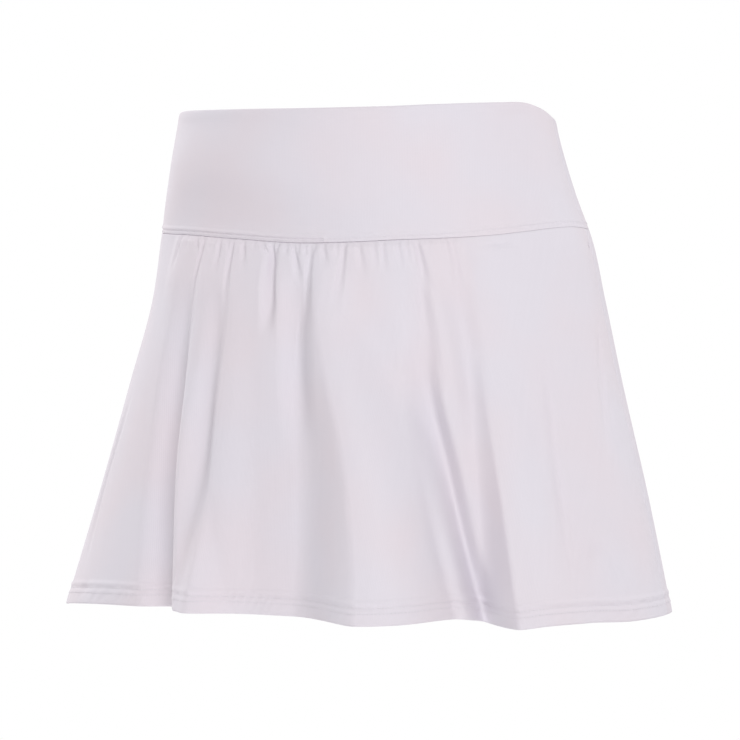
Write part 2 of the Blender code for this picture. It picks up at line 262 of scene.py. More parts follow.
# Relief of the gathers under the waist seam.
GATHER_MARGIN = 6.0  # degrees over which they set in at both ends
GATHER_SCALE = 1.5  # depth of a trough, against the depth in its row
GATHER_FLOOR = 0.0003  # how far a trough can cut in past the plain face
GATHER_FADES = 0.40  # share of its length at which it starts to fade
GATHER_TOP, GATHER_SPREAD = 0.80, 0.50  # its width at the seam and what its foot adds
PUFF_STARTS = (-0.0005, 0.0045)  # depths between which the cloth puffs out
PUFF_ENDS = (0.010, 0.062)  # and between which it settles again

# The needle pulls the cloth in and out: how far under the seam, and how long one swing is,
# in degrees under the seam and on the strip, and in metres along the hem.
NEEDLE_PULL = 0.00016
SEAM_SWING, STRIP_SWING, HEM_SWING = 0.9, 1.1, 0.011

# Level lines in the cloth: how far over their edge they lie, how far they stand out, and
# their half width. The seam strip's heights are shares of the measures in its own table.
Line = namedtuple("Line", "over height half_width")
HEM_RIDGE = Line(0.0008, 0.00055, 0.0022)
HEM_NEEDLES = Line(-0.0026, -0.00070, 0.0015)
HEM_LOWER = Line(-0.0055, 0.00022, 0.0016)
WAIST_ROLL = Line(0.0040, 0.00030, 0.0045)
STRIP_RIDGE = Line(0.0043, 1.0, 0.0019)
STRIP_SHADOW = Line(0.0025, -1.0, 0.0010)
STRIP_NEEDLES = Line(0.0020, 0.00010, 0.0045)

# Three sine waves that make an uneven one. A seed shifts each by its own share.
WAVES = records(
    "height pace start seeded",
    (0.5, 0.47, 1.3, 1.0),
    (0.3, 0.83, 2.1, 1.7),
    (0.2, 1.39, 0.4, 2.9),
)

# Puckers of the hem: small slanted waves, uneven in place and in height.
PUCKER_HEIGHT = 0.00016
PUCKER_PITCH = 0.0078  # along the hem from one to the next
PUCKER_SLANT = 0.012  # height over which one leans by a pitch
PUCKER_DRIFT, PUCKER_SWELL = 0.04, 0.05  # lengths over which place and height change

SIDE_GROOVE = 0.0016  # distance over which the cloth rolls in to a side seam
SIDE_GROOVE_DEPTH = 0.7  # how deep, as a share of the seam roll

# Rows of the meshes: start, stop and step of each stretch. Down the outer face they are
# laid out for a face as long as the run, and drawn out to the real one.
SKIRT_ROWS = ((0.0010, 0.012, 0.0009), (0.012, 0.060, 0.0020), (0.060, 0.225, 0.0036))
SKIRT_RUN, BAND_RUN = 0.235, 0.081
HEM_ZONE, HEM_STEP = 0.0195, 0.00075  # close rows up to this height over the hem edge
BAND_ROWS = ((0.014, 0.0012), (0.078, 0.0024))  # stop and step, from the rounded edge on
STRIP_ROWS = (0.0085, 0.0010, 0.00034)
BAND_COLUMN = 0.42  # degrees from one column of the waistband to the next
SEAM_OFFSET, ROLL_OFFSET = 0.00002, 0.10  # an edge's way to the seam: plain, and per roll
SKIRT_TOP, BAND_TOP = 0.66, 0.86  # upper edge of the flat cuts, as a share of the lower

# Threads. A stitch is a short bowed tube that dips into the cloth at both ends.
STITCH_RINGS, THREAD_SIDES = 7, 6
STITCH_SHARE = 0.86  # length of a stitch without the gap after it
THREAD_LIFT, THREAD_DIP = 0.30, 0.95  # rise of its middle and dip of its ends, in widths
HEM_THREADS = (0.0028, 0.0062)  # how far its two lines lie under the top of the hem
WAIST_THREAD_END, HEM_THREAD_END = 0.4, 0.3  # degrees from a side seam to a line's end

# The knit and the thread: how their colours and their relief change from place to place, with
# painted shade in their colours where the relief is low.
STREAK_WAY = (420.0, 16.0)  # changes of the streaks in a metre, across and down
DRIFT_WAY = 13.0  # changes of the tone in a metre
DRIFT_STOPS = (0.36, 0.64)  # where the noise shows the first colour and where the second
STITCH_GAP_PAINTED_SHADE = 0.030  # painted shade: how much darker the colour is in the ground between the stitches, where the knit's relief is low
TWIST_PAINTED_SHADE = 0.93  # painted shade: how bright the thread's colour is in the grooves between its strands, against the strands
TWIST_PITCH, TWIST_DEPTH = 0.9, 0.12  # of the thread's strands, in widths
BUMP_SHARE = 0.8  # strength of the knit's relief
SHARP_ANGLE = 60.0  # degrees between two faces from which an edge is sharp

# Broad square lights round the garment, and the floor. Azimuth 0 is in front.
Light = namedtuple("Light", "name azimuth elevation")
LIGHTS = (Light("key", 29.0, 27.0), Light("side", -112.0, 25.0), Light("back", 142.0, 25.0))
LIGHT_DISTANCE, LIGHT_SIZE = 3.0, 2.0
FLOOR_RADIUS, FLOOR_SIDES = 4.2, 96


# ---------------- sizes and colours
def metres(name, description, low, high, start, precision=5):
    """A length."""
    return FloatProperty(
        name=name, description=description, unit="LENGTH",
        min=low, max=high, precision=precision, default=start,
    )


def amount(name, description, low, high, start, subtype="NONE"):
    """A number without a unit."""
    return FloatProperty(
        name=name, description=description, subtype=subtype, min=low, max=high, default=start
    )


def tint(name, description, start):
    """A colour."""
    return FloatVectorProperty(
        name=name, description=description, subtype="COLOR", size=3,
        min=0.0, max=1.0, default=start,
    )


class ClothSettings(bpy.types.PropertyGroup):
    """The knit: its colours, its rows and its thickness."""

    lilac: tint("Lilac", "Main colour of the knit", (0.682, 0.648, 0.704))
    blush: tint("Blush", "Warmer colour that the knit drifts to", (0.694, 0.637, 0.684))
    thread: tint("Thread", "Colour of the sewing thread", (0.70, 0.663, 0.71))
    wale: metres("Wale", "Width of an upright row of stitches", 0.0002, 0.01, 0.0011)
    course: metres("Course", "Height of a level row of stitches", 0.0002, 0.01, 0.0008)
    knit_height: metres("Knit Height", "How far the stitches stand out", 0.0, 0.001, 0.00005)
    roughness: amount("Roughness", "Roughness of the yarn", 0.0, 1.0, 0.82, "FACTOR")
    sheen: amount("Sheen", "Soft shine of the yarn's nap", 0.0, 1.0, 0.06, "FACTOR")
    skirt_wall: metres("Skirt Thickness", "Its single knit", 0.0003, 0.003, 0.0010)
    band_wall: metres("Waistband Thickness", "Its doubled knit", 0.0006, 0.005, 0.0024)


class SewingSettings(bpy.types.PropertyGroup):
    """Seams, hem, gathers and thread."""

    seam_gap: metres("Seam Gap", "Space between two sewn pieces", 0.0, 0.001, 0.00016)
    seam_roll: metres("Seam Roll", "How far cloth rolls in to a seam", 0.0, 0.003, 0.0010)
    hem_height: metres("Hem Height", "Height of the turned-up hem", 0.002, 0.05, 0.0140, 4)
    hem_rise: metres("Hem Rise", "What the hem's second layer adds", 0.0, 0.002, 0.0004)
    gather_rise: metres("Gather Rise", "How far gathered cloth puffs out", 0.0, 0.006, 0.0020)
    back_gathers: IntProperty(
        name="Back Gathers", description="How many the back has", min=0, max=60, default=26
    )
    back_seed: IntProperty(
        name="Back Seed", description="Seed of their uneven places", min=0, max=999, default=11
    )
    stitch: metres("Stitch", "One stitch and the gap after it", 0.001, 0.01, 0.0027, 4)
    thread_width: metres("Thread Width", "Thickness of the thread", 0.0001, 0.001, 0.00036)


class StageSettings(bpy.types.PropertyGroup):
    """Camera, light and floor."""

    azimuth: amount("Camera Azimuth", "Degrees round the garment", -180.0, 180.0, 25.0)
    distance: metres("Camera Distance", "From the garment's axis", 0.5, 10.0, 3.2, 3)
    camera_height: metres("Camera Height", "Height over the waist", -2.0, 3.0, -0.060, 3)
    aim_height: metres("Aim Height", "Height that the camera looks at", -1.0, 1.0, -0.180, 3)
    aside: metres("Aside", "Camera and aim to the right", -0.1, 0.1, 0.0031, 4)
    lens: amount("Lens", "Focal length in millimetres", 20.0, 600.0, 226.4)
    key_power: amount("Key Light", "Watts of the light at the front left", 0.0, 2000.0, 51.0)
    side_power: amount("Side Light", "Watts of the light at the right", 0.0, 2000.0, 64.0)
    back_power: amount("Back Light", "Watts of the light behind", 0.0, 2000.0, 34.0)
    surround: amount("Surround", "Even light from all sides", 0.0, 2.0, 0.53)
    floor_drop: metres("Floor Drop", "Depth under the waist", 0.4, 2.0, 1.05, 3)


class SkirtSettings(bpy.types.PropertyGroup):
    """All the settings of the tennis skirt."""

    cloth: PointerProperty(type=ClothSettings)
    sewing: PointerProperty(type=SewingSettings)
    stage: PointerProperty(type=StageSettings)


# ---------------- curves and tables
def through(xs, ys, x):
    """Smooth curve through the points (xs, ys), held level past both ends."""
    xs = np.asarray(xs, dtype=float)
    ys = np.asarray(ys, dtype=float)
    slopes = np.gradient(ys, xs)
    x = np.clip(x, xs[0], xs[-1])
    i = np.clip(np.searchsorted(xs, x, side="right") - 1, 0, len(xs) - 2)
    width = xs[i + 1] - xs[i]
    t = (x - xs[i]) / width
    return (
        (2 * t**3 - 3 * t**2 + 1) * ys[i]
        + (t**3 - 2 * t**2 + t) * width * slopes[i]
        + (3 * t**2 - 2 * t**3) * ys[i + 1]
        + (t**3 - t**2) * width * slopes[i + 1]
    )


def column(table, name):
    """One named column of a table."""
    return [getattr(row, name) for row in table]


def ramp(x, start, stop):
    """0 before start, 1 after stop, soft in between."""
    t = np.clip((x - start) / (stop - start), 0.0, 1.0)
    return t * t * (3.0 - 2.0 * t)


def bump(t):
    """Round bump: 1 at t = 0, falling to 0 at t = 1 on both sides."""
    return 0.5 * (1.0 + np.cos(np.pi * np.clip(np.abs(t), 0.0, 1.0)))


def waver(x, seed=0.0):
    """Uneven wave between about -1 and 1, whose swings are about 1 long."""
    return sum(
        wave.height * np.sin(2.0 * np.pi * wave.pace * x + wave.start + wave.seeded * seed)
        for wave in WAVES
    )


def turn(angle):
    """The same angle between -180 and 180 degrees."""
    return (angle + 180.0) % 360.0 - 180.0


def edge(angle, name):
    """Depth of the waist, seam or hem edge at an angle."""
    return through(column(EDGES, "angle"), column(EDGES, name), turn(angle))


def strip(angle, name):
    """One measure of the seam strip at an angle."""
    return np.interp(angle, column(STRIPS, "angle"), column(STRIPS, name))


# ---------------- the body form
def form(angle, depth):
    """Point of the plain form, its outward direction, and its length for one degree."""
    sine, cosine = np.sin(np.radians(angle)), np.cos(np.radians(angle))
    sizes = {
        name: through(column(RINGS, "depth"), column(RINGS, name), depth)
        for name in ("right", "left", "front", "back")
    }
    across = np.where(sine > 0.0, sizes["left"], sizes["right"])
    along = np.where(cosine > 0.0, sizes["front"], sizes["back"])
    point = np.stack((across * sine, -along * cosine, -depth), axis=-1)
    out = np.stack((along * sine, -across * cosine, np.zeros_like(depth)), axis=-1)
    out /= np.linalg.norm(out, axis=-1, keepdims=True)
    degree = np.hypot(across * cosine, along * sine) * np.pi / 180.0
    return point, out, degree


def beside(row, share, angle, degree):
    """Distance along the cloth from a fold, crease or ripple, at a share of its way down."""
    middle = through(np.linspace(0.0, 1.0, len(row.path)), row.path, share)
    return turn(angle - middle) * degree


def folds(angle, depth, degree):
    """How far the large folds and creases stand out from the plain form."""
    out = np.zeros_like(depth)
    for fold in FOLDS:
        share = np.clip((depth - fold.start) / (HEM_DEPTH - fold.start), 0.0, 1.0)
        aside = beside(fold, share, angle, degree)
        before = fold.narrow + (fold.wide - fold.narrow) * share
        after = fold.other * (FOLD_OTHER_START + (1.0 - FOLD_OTHER_START) * share)
        t = np.abs(aside) / np.where(aside < 0.0, before, after)
        t = np.clip(np.hypot(t, CREST_ROUNDING) - CREST_ROUNDING, 0.0, 1.0)
        narrow_side = (aside < 0.0) == (fold.wide < fold.other)
        profile = np.where(narrow_side, (1.0 - t) ** FOLD_STEEPNESS, bump(t))
        out += fold.height * share**FOLD_GROWTH * profile
    for crease in CREASES:
        share = np.clip((depth - crease.start) / (HEM_DEPTH - crease.start), 0.0, 1.0)
        aside = beside(crease, share, angle, degree)
        width = np.where(aside < 0.0, crease.before, crease.after)
        width = width * (CREASE_START + (1.0 - CREASE_START) * share)
        out -= crease.depth * np.minimum(share / CREASE_FULL, 1.0) * bump(aside / width)
    return out


def ripples(angle, depth, degree):
    """The small ridges and troughs, and the dents."""
    out = np.zeros_like(depth)
    for ripple in RIPPLES:
        share = (depth - ripple.start) / (ripple.stop - ripple.start)
        aside = beside(ripple, share, angle, degree)
        fade = ramp(share, 0.0, RIPPLE_FULL) * (1.0 - ramp(share, RIPPLE_FADES, 1.0))
        out += ripple.rise * fade * bump(aside / ripple.half_width)
    for dent in DENTS:
        around = turn(angle - dent.angle) / dent.wide
        down = (depth - dent.depth) / dent.high
        out -= dent.sink * bump(np.hypot(around, down))
    return out


def back_gathers(sewing):
    """Gathers of the back: evenly spread, each a little different from the next."""
    chance = np.random.default_rng(sewing.back_seed)
    start, stop = GATHERED_BACK
    pitch = (stop - start) / max(sewing.back_gathers, 1)
    rows = []
    for number in range(sewing.back_gathers):
        top = start + pitch * (number + 0.5 + chance.uniform(-0.25, 0.25))
        foot = top + chance.uniform(-2.0, 2.0)
        long = number % 4 == 1
        length = chance.uniform(0.042, 0.060) if long else chance.uniform(0.010, 0.030)
        depth = 0.0016 if long else chance.uniform(0.0006, 0.0013)
        half_width = chance.uniform(1.6, 2.0) if long else chance.uniform(1.0, 1.6)
        rows.append(Gather(top, foot, length, depth, half_width))
    return tuple(rows)


def gather_table(half, sewing):
    """The gathers of the front or the back."""
    return FRONT_GATHERS if half.side == "front" else back_gathers(sewing)


def gathers(angle, below, table, limits, rise):
    """Relief of the gathers: the cloth puffs out and the troughs cut back into it."""
    start, stop = limits
    inside = ramp(angle, start, start + GATHER_MARGIN) * ramp(-angle, -stop, GATHER_MARGIN - stop)
    puff = rise * ramp(below, *PUFF_STARTS) * (1.0 - ramp(below, *PUFF_ENDS))
    troughs = np.zeros_like(angle)
    for row in table:
        share = below / row.length
        middle = row.top + (row.foot - row.top) * np.clip(share, 0.0, 1.0)
        fade = 1.0 - ramp(share, GATHER_FADES, 1.0)
        width = row.half_width * (GATHER_TOP + GATHER_SPREAD * np.clip(share, 0.0, 1.0))
        here = GATHER_SCALE * row.depth * fade * bump((angle - middle) / width)
        troughs = np.maximum(troughs, here)
    needle = NEEDLE_PULL * waver(angle / SEAM_SWING) * ramp(below, 0.0, 0.002)
    needle = needle * (1.0 - ramp(below, 0.003, 0.009))
    return inside * (puff - np.minimum(troughs, puff + GATHER_FLOOR) + needle)


# ---------------- the outer faces
def pressed(line, over):
    """Relief of one level line, at a distance over its edge."""
    return line.height * bump((over - line.over) / line.half_width)


def side_groove(angle, degree, sewing):
    """The cloth rolls in towards the side seams."""
    away = np.minimum(np.abs(turn(angle - SIDE_SEAM)), np.abs(turn(angle + SIDE_SEAM)))
    near = 1.0 - ramp(away * degree, 0.0, SIDE_GROOVE)
    return -SIDE_GROOVE_DEPTH * sewing.seam_roll * near


def skirt_face(angle, depth, half, table, sewing):
    """Outer face of the skirt: its points and its outward direction."""
    point, out, degree = form(angle, depth)
    below = depth - edge(angle, "seam")
    above = edge(angle, "hem") - depth
    over = above - sewing.hem_height
    stand = folds(angle, depth, degree) + ripples(angle, depth, degree)
    stand += gathers(angle, below, table, half.gathered, sewing.gather_rise)
    arc = angle * degree
    layer = sewing.hem_rise * (1.0 - ramp(over, -0.0004, 0.0016))
    uneven = 0.75 + 0.45 * waver(arc / HEM_SWING)
    lines = pressed(HEM_RIDGE, over) + pressed(HEM_LOWER, over)
    lines += uneven * pressed(HEM_NEEDLES, over)
    skewed = arc / PUCKER_PITCH + 0.9 * waver(arc / PUCKER_DRIFT) - above / PUCKER_SLANT
    puckers = PUCKER_HEIGHT * np.sin(2.0 * np.pi * skewed)
    puckers = puckers * (0.8 + 0.5 * waver(arc / PUCKER_SWELL, 1.0))
    puckers = puckers * ramp(above, 0.0, 0.004) * (1.0 - ramp(over, -0.004, 0.003))
    relief = layer + lines + puckers + side_groove(angle, degree, sewing)
    return point + out * (stand + relief)[..., None], out


def band_face(angle, depth, sewing):
    """Outer face of the waistband: its points and its outward direction."""
    point, out, degree = form(angle, depth)
    above = edge(angle, "seam") - depth
    below = depth - edge(angle, "waist")
    relief = ripples(angle, depth, degree) + pressed(WAIST_ROLL, below)
    relief += strip(angle, "ridge") * pressed(STRIP_RIDGE, above)
    relief += strip(angle, "shadow") * pressed(STRIP_SHADOW, above)
    relief += waver(angle / STRIP_SWING) * pressed(STRIP_NEEDLES, above)
    relief += side_groove(angle, degree, sewing)
    return point + out * relief[..., None], out


# ---------------- meshes
def seam_angles(angles, depth, gap):
    """The column angles on every row, with the end columns set back from the side seams."""
    grid = np.broadcast_to(angles, depth.shape).copy()
    for end, side in ((0, 1.0), (-1, -1.0)):
        degree = form(grid[:, end], depth[:, end])[2]
        grid[:, end] += side * 0.5 * gap / degree
    return grid


def steps(*parts):
    """Numbers from part to part: (start, stop, step) each, both ends kept."""
    found = [parts[0][0]]
    for start, stop, step in parts:
        count = max(1, round(abs(stop - start) / step))
        found.extend(np.linspace(start, stop, count + 1)[1:])
    return np.array(found)


def end_cap(depth, lowest):
    """Triangles that close one end of a wall whose section is a ring of points."""
    size = len(depth)
    outer = list(range(0, lowest + 1))
    inner = [0] + list(range(size - 1, lowest - 1, -1))
    faces = []
    i = j = 0
    while i < len(outer) - 1 or j < len(inner) - 1:
        step_out = j == len(inner) - 1 or (
            i < len(outer) - 1 and depth[outer[i + 1]] <= depth[inner[j + 1]]
        )
        if step_out:
            faces.append([outer[i], outer[i + 1], inner[j]])
            i += 1
        else:
            faces.append([outer[i], inner[j + 1], inner[j]])
            j += 1
    return [face for face in faces if len(set(face)) == 3]


def wall(name, points, depth, lowest, grain, material):
    """One closed wall of cloth. Each column of the grid is a ring round the cloth's section."""
    numbers = np.arange(depth.size).reshape(depth.shape)
    following = np.roll(numbers, -1, axis=0)
    quads = np.stack(
        (numbers[:, :-1], following[:, :-1], following[:, 1:], numbers[:, 1:]), axis=-1
    )
    first = [numbers[face[::-1], 0] for face in end_cap(depth[:, 0], lowest)]
    last = [numbers[face, -1] for face in end_cap(depth[:, -1], lowest)]
    faces = quads.reshape(-1, 4).tolist() + np.array(first + last).tolist()
    piece = finish_piece(name, points, faces, grain, material)
    piece.data.set_sharp_from_angle(angle=radians(SHARP_ANGLE))
    return piece


def placed(name, data):
    """A new object in the scene."""
    made = bpy.data.objects.new(name, data)
    bpy.context.scene.collection.objects.link(made)
    return made


def finish_piece(name, points, faces, grain, material):
    """A smooth mesh as an object, with each point's place on the flat cloth."""
    mesh = bpy.data.meshes.new(name)
    mesh.from_pydata(points.reshape(-1, 3).tolist(), [], faces)
    mesh.validate()
    mesh.shade_smooth()
    places = mesh.attributes.new("grain", "FLOAT_VECTOR", "POINT")
    places.data.foreach_set("vector", grain.astype(np.float32).ravel())
    mesh.materials.append(material)
    return placed(name, mesh)


def flat_place(face, shares, top_share):
    """Place of each point on the flat cut, whose upright grain runs down its middle.

    The cut is part of a ring: its lower edge is as long as the lowest row of the face and
    its upper edge is a share of that."""
    lowest = face[-1]
    along = np.concatenate(([0.0], np.cumsum(np.linalg.norm(np.diff(lowest, axis=0), axis=1))))
    middle = face.shape[1] // 2
    length = np.linalg.norm(np.diff(face[:, middle], axis=0), axis=1).sum()
    outer_radius = length / (1.0 - top_share)
    fan = (along - 0.5 * along[-1]) / outer_radius
    radius = outer_radius - length * (1.0 - shares)
    return np.stack(
        (radius * np.sin(fan), outer_radius - radius * np.cos(fan), np.zeros_like(radius)), axis=-1
    )


# ---------------- cloth pieces
def section(rows, top):
    """Depths of the rows of a section at every column, and how far in from the face they lie."""
    depth = np.array([np.broadcast_to(row[0], top.shape) for row in rows])
    into = np.array([row[1] for row in rows])
    return depth, np.broadcast_to(into[:, None], depth.shape)


def skirt_section(top, bottom, roll, cloth, sewing):
    """Rows round the section of the skirt's wall, and the number of the lowest one."""
    thick, hem = cloth.skirt_wall, sewing.hem_height
    radius = thick + 0.5 * sewing.hem_rise
    rows = [
        (top + roll * (1.0 - cos(turned)), thick * (1.0 - sin(turned)))
        for turned in np.linspace(0.0, 0.5 * pi, 6)
    ]
    length = bottom - HEM_ZONE - top
    rows += [(top + length * down / SKIRT_RUN, 0.0) for down in steps(*SKIRT_ROWS)[1:]]
    rows += [(bottom - over, 0.0) for over in steps((HEM_ZONE, radius, HEM_STEP))]
    rows += [
        (bottom - radius + radius * sin(turned), radius * (1.0 - cos(turned)))
        for turned in np.linspace(0.0, pi, 9)[1:]
    ]
    lowest = len(rows) - 5
    rows += [(bottom - over, 2.0 * radius) for over in (0.004, 0.008, 0.012, hem - 0.0005)]
    rows += [
        (bottom - hem, 2.0 * radius * 0.92),
        (bottom - hem - 0.0003, 2.0 * radius * 0.5),
        (bottom - hem - 0.0006, thick),
    ]
    start, stop = bottom - hem - 0.0040, top + 0.0020
    rows += [(start + (stop - start) * share, thick) for share in np.linspace(0.0, 1.0, 34)]
    return (*section(rows, top), lowest)


def band_section(top, bottom, roll, cloth):
    """Rows round the section of the waistband's wall, and the number of the lowest one."""
    thick = cloth.band_wall
    radius = 0.5 * thick

    def round_edge(turns):
        """Rows over the rounded waist edge."""
        return [(top + radius * (1.0 - sin(t)), radius * (1.0 + cos(t))) for t in turns]

    rows = round_edge(np.linspace(0.5 * pi, pi, 6))
    (first, first_step), (second, second_step) = BAND_ROWS
    downs = steps((radius, first, first_step), (first, second, second_step))[1:]
    length = bottom - STRIP_ROWS[0] - top
    rows += [(top + length * down / BAND_RUN, 0.0) for down in downs]
    rows += [(bottom - over, 0.0) for over in steps(STRIP_ROWS)]
    rows += [
        (bottom - roll * (1.0 - sin(turned)), thick * (1.0 - cos(turned)))
        for turned in np.linspace(0.0, 0.5 * pi, 6)[1:]
    ]
    lowest = len(rows) - 1
    length = top + radius - bottom
    rows += [(bottom + length * share, thick) for share in np.linspace(0.0, 1.0, 22)[1:]]
    rows += round_edge(np.linspace(0.0, 0.5 * pi, 6)[1:-1])
    return (*section(rows, top), lowest)


def panel(name, ends, rows, faces, top_share, material):
    """One half of the waistband or the skirt: the wall between its outer and inner face."""
    top, bottom = ends
    depth, into, lowest = rows
    face, out = faces
    shares = (depth - top) / (bottom - top)
    flat = flat_place(face[: lowest + 1], shares[: lowest + 1], top_share)
    inner = flat_place(face[lowest:][::-1], shares[lowest:][::-1], top_share)[::-1]
    grain = np.concatenate((flat, inner[1:]))
    return wall(name, face - out * into[..., None], depth, lowest, grain, material)


def skirt_panel(half, cloth, sewing, material):
    """Front or back half of the skirt."""
    angles = steps(*half.spans)
    roll = strip(angles, "roll")
    top = edge(angles, "seam") + SEAM_OFFSET + ROLL_OFFSET * roll
    bottom = edge(angles, "hem")
    rows = skirt_section(top, bottom, roll, cloth, sewing)
    grid = seam_angles(angles, rows[0], sewing.seam_gap)
    faces = skirt_face(grid, rows[0], half, gather_table(half, sewing), sewing)
    return panel(f"skirt_{half.side}_cloth", (top, bottom), rows, faces, SKIRT_TOP, material)


def band_panel(half, cloth, sewing, material):
    """Front or back half of the waistband."""
    first, last = half.spans[0], half.spans[-1]
    angles = steps(first, Span(first.stop, last.start, BAND_COLUMN), last)
    roll = strip(angles, "roll")
    top = edge(angles, "waist")
    bottom = edge(angles, "seam") - SEAM_OFFSET - ROLL_OFFSET * roll
    rows = band_section(top, bottom, roll, cloth)
    faces = band_face(seam_angles(angles, rows[0], sewing.seam_gap), rows[0], sewing)
    return panel(f"waistband_{half.side}_cloth", (top, bottom), rows, faces, BAND_TOP, material)


# ---------------- stitching
def waist_line(sewing):
    """The line of thread over the waist seam: its points at some angles."""

    def line(angles, nudge):
        depth = edge(angles, "seam") - strip(angles, "over_seam") + nudge
        point, out = band_face(angles, depth, sewing)
        sunk = 0.5 * sewing.thread_width - strip(angles, "thread")
        return point - out * sunk[:, None]

    return line


def hem_line(half, under, sewing):
    """One line of thread on the hem, as far under the hem's top as given."""
    table = gather_table(half, sewing)

    def line(angles, nudge):
        depth = edge(angles, "hem") - (sewing.hem_height - under) + nudge
        return skirt_face(angles, depth, half, table, sewing)[0]

    return line


def stitch_row(line, half, end, settings):
    """Places of the stitches along a line: middle, along and outward directions."""
    angles = np.arange(half.spans[0].start + end, half.spans[-1].stop - end, 0.05)
    upper, middle, lower = (line(angles, nudge) for nudge in (-0.0004, 0.0, 0.0004))
    along = np.gradient(middle, axis=0)
    out = np.cross(lower - upper, along)
    lengths = np.linalg.norm(np.diff(middle, axis=0), axis=1)
    reach = np.concatenate(([0.0], np.cumsum(lengths)))
    count = int(reach[-1] / settings.sewing.stitch)
    places = (np.arange(count) + 0.5) * reach[-1] / count
    middle, along, out = (
        np.stack([np.interp(places, reach, field[:, k]) for k in range(3)], axis=-1)
        for field in (middle, along, out)
    )
    along /= np.linalg.norm(along, axis=1, keepdims=True)
    out /= np.linalg.norm(out, axis=1, keepdims=True)
    return middle, along, out


def stitches(name, rows, settings, material):
    """Short bowed threads, one for each stitch, joined as one mesh."""
    length, width = STITCH_SHARE * settings.sewing.stitch, settings.sewing.thread_width
    middle, along, out = (np.concatenate(parts) for parts in zip(*rows))
    s = np.linspace(-1.0, 1.0, STITCH_RINGS)
    turned = np.linspace(0.0, 2.0 * pi, THREAD_SIDES, endpoint=False)
    lift = THREAD_LIFT * width - THREAD_DIP * width * np.abs(s) ** 3
    thick = (0.5 * width * np.sqrt(1.02 - 0.82 * s**4))[:, None]
    reach = (0.5 * length * s)[:, None]
    tube = np.broadcast_arrays(
        reach, lift[:, None] + thick * np.cos(turned), thick * np.sin(turned)
    )
    axes = np.stack((along, out, np.cross(along, out)), axis=1)
    points = middle[:, None, None] + np.stack(tube, axis=-1) @ axes[:, None]
    count = len(middle)
    numbers = np.arange(STITCH_RINGS * THREAD_SIDES).reshape(STITCH_RINGS, THREAD_SIDES)
    following = np.roll(numbers, -1, axis=1)
    quads = np.stack((numbers[:-1], numbers[1:], following[1:], following[:-1]), axis=-1)
    offsets = (np.arange(count) * numbers.size)[:, None, None]
    quads = (quads.reshape(1, -1, 4) + offsets).reshape(-1, 4)
    ends = (np.stack((numbers[0], numbers[-1][::-1])) + offsets).reshape(-1, THREAD_SIDES)
    down = reach + (np.arange(count) * length)[:, None, None]
    place = np.stack(np.broadcast_arrays(turned * 0.5 * width, down, 0.0), axis=-1)
    return finish_piece(name, points, quads.tolist() + ends.tolist(), place, material)


# ---------------- shader maths
def sign(operation, swapped=False):
    """One sign of arithmetic between values, which adds a Math node."""

    def work(self, other):
        terms = (other, self) if swapped else (self, other)
        return self.graph.math(operation, *terms)

    return work


class Value:
    """A socket of a shader graph. Sums written with it add Math nodes."""

    __add__, __radd__ = sign("ADD"), sign("ADD", swapped=True)
    __sub__, __rsub__ = sign("SUBTRACT"), sign("SUBTRACT", swapped=True)
    __mul__, __rmul__ = sign("MULTIPLY"), sign("MULTIPLY", swapped=True)
    __truediv__, __pow__ = sign("DIVIDE"), sign("POWER")

    def __init__(self, graph, socket):
        self.graph = graph
        self.socket = socket

    def math(self, operation, *others):
        return self.graph.math(operation, self, *others)


class Graph:
    """Builds the nodes of one material or of the world."""

    def __init__(self, owner):
        self.owner = owner
        owner.use_nodes = True
        self.tree = owner.node_tree
        self.tree.nodes.clear()

    def feed(self, socket, value):
        """Links a value to a socket, or sets the socket to it."""
        if isinstance(value, Value):
            self.tree.links.new(value.socket, socket)
        else:
            socket.default_value = value

    def node(self, kind, settings=None, inputs=None, stops=()):
        """A node of a type, with its settings, its ramp's stops and what feeds its sockets."""
        made = self.tree.nodes.new(kind)
        for name, value in (settings or {}).items():
            setattr(made, name, value)
        for number, (position, colour) in enumerate(stops):
            element = made.color_ramp.elements[number]
            element.position, element.color = position, opaque(colour)
        for name, value in (inputs or {}).items():
            self.feed(next(s for s in made.inputs if name in (s.identifier, s.name)), value)
        return made

    def value(self, node, output=0):
        """One output of a node, ready for sums."""
        if isinstance(output, str):
            return Value(self, next(s for s in node.outputs if output in (s.identifier, s.name)))
        return Value(self, node.outputs[output])

    def math(self, operation, *terms):
        node = self.node("ShaderNodeMath", {"operation": operation})
        for socket, term in zip(node.inputs, terms):
            self.feed(socket, term)
        return self.value(node)

    def mix(self, factor, first, second, blend="MIX"):
        """Two colours as one."""
        settings = {"data_type": "RGBA", "blend_type": blend}
        inputs = {"Factor_Float": factor, "A_Color": first, "B_Color": second}
        return self.value(self.node("ShaderNodeMix", settings, inputs), "Result_Color")

    def noise(self, place, scale, detail):
        """Soft noise between 0 and 1."""
        inputs = {"Vector": place, "Scale": scale, "Detail": detail}
        return self.value(self.node("ShaderNodeTexNoise", None, inputs), "Fac")

    def grain(self):
        """A point's place on the flat cloth: as one, and its first two parts."""
        settings = {"attribute_type": "GEOMETRY", "attribute_name": "grain"}
        place = self.value(self.node("ShaderNodeAttribute", settings), "Vector")
        parts = self.node("ShaderNodeSeparateXYZ", None, {"Vector": place})
        return place, self.value(parts, "X"), self.value(parts, "Y")

    def relief(self, height, strength):
        """Normals of a relief whose height is in metres."""
        inputs = {"Strength": strength, "Distance": 1.0, "Height": height}
        return self.value(self.node("ShaderNodeBump", None, inputs))

    def principled(self, inputs):
        return self.node("ShaderNodeBsdfPrincipled", None, inputs)

    def output(self, shader, kind="Material"):
        self.node(f"ShaderNodeOutput{kind}", None, {"Surface": self.value(shader)})


def opaque(colour):
    """A colour with its alpha."""
    return (*colour, 1.0)


